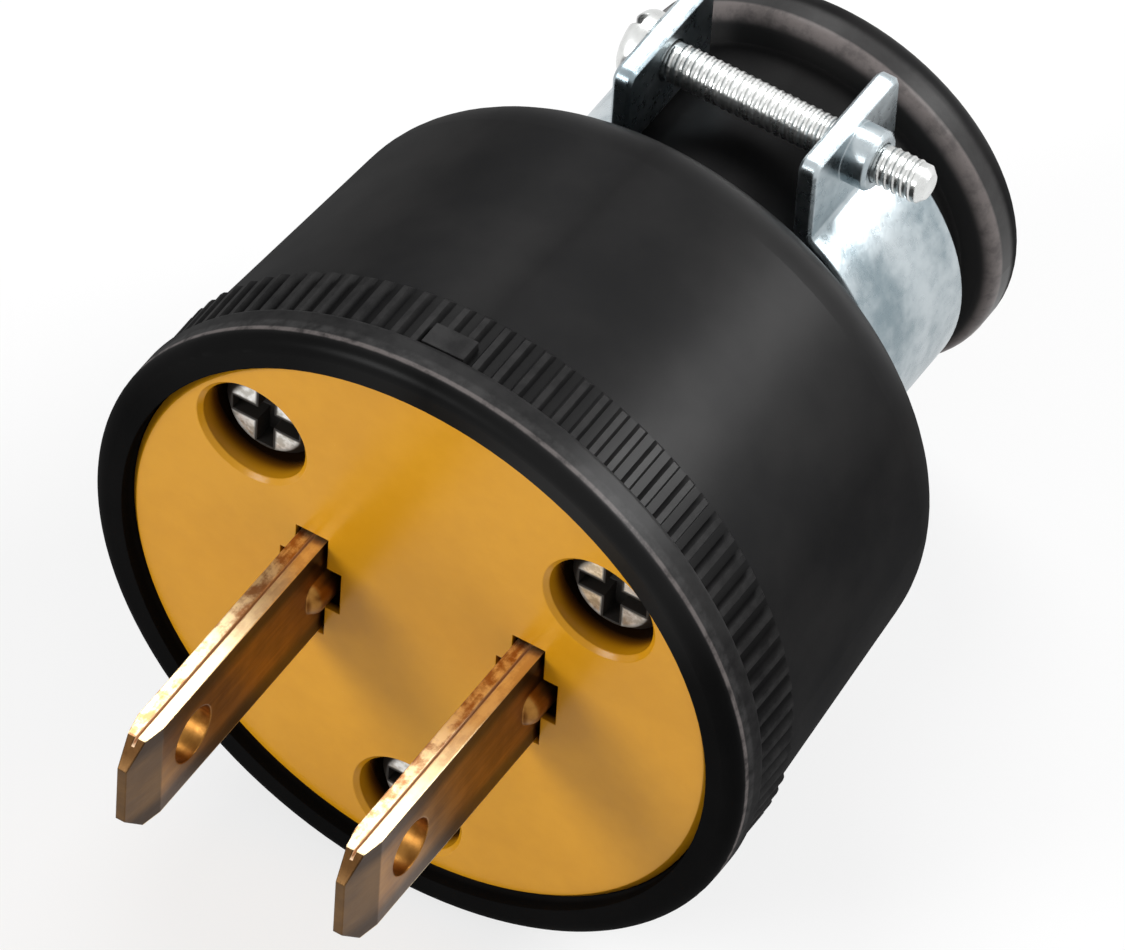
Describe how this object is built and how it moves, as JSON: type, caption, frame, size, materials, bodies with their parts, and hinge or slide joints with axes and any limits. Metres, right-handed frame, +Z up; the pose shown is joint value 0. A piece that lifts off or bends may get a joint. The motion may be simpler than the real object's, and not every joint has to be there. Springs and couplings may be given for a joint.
{
  "type": "two blade rubber plug",
  "caption": "Heavy-duty electrical plug: parallel flat blades in a yellow dead-front face, knurled rubber body, and a screwed steel clamp round its cord neck.",
  "frame": {"origin": "On the table under the middle of the lying plug, at the middle of its length and width.", "axes": "+Z up, -Y the way the blades point (nose up by about five degrees, as the plug rests), +X from the left blade to the right one."},
  "size_m": [0.038, 0.0572, 0.0381],
  "materials": {
    "body_rubber": "matte moulded rubber",
    "face_plastic": "satin moulded",
    "carrier_plastic": "moulded",
    "blade_brass": "tarnished, folded",
    "terminal_brass": "plain",
    "terminal_steel": "plated",
    "clamp_zinc": "bright zinc plate",
    "screw_zinc": "bright zinc plate",
    "face_screw_zinc": "bright zinc plate"
  },
  "bodies": {
    "root": {"rubber_body": "body_rubber", "face_plate": "face_plastic", "terminal_carrier": "carrier_plastic", "blade_left": "blade_brass", "blade_right": "blade_brass", "wire_plate_left": "terminal_brass", "wire_plate_right": "terminal_brass", "terminal_screw_left": "terminal_steel", "terminal_screw_right": "terminal_steel", "clamp_half_left": "clamp_zinc", "clamp_half_right": "clamp_zinc", "clamp_screw_upper": "screw_zinc", "clamp_screw_lower": "screw_zinc", "face_screw_upper_left": "face_screw_zinc", "carrier_insert_upper_left": "terminal_brass", "face_screw_upper_right": "face_screw_zinc", "carrier_insert_upper_right": "terminal_brass", "face_screw_lower": "face_screw_zinc", "carrier_insert_lower": "terminal_brass"}
  },
  "joints": []
}
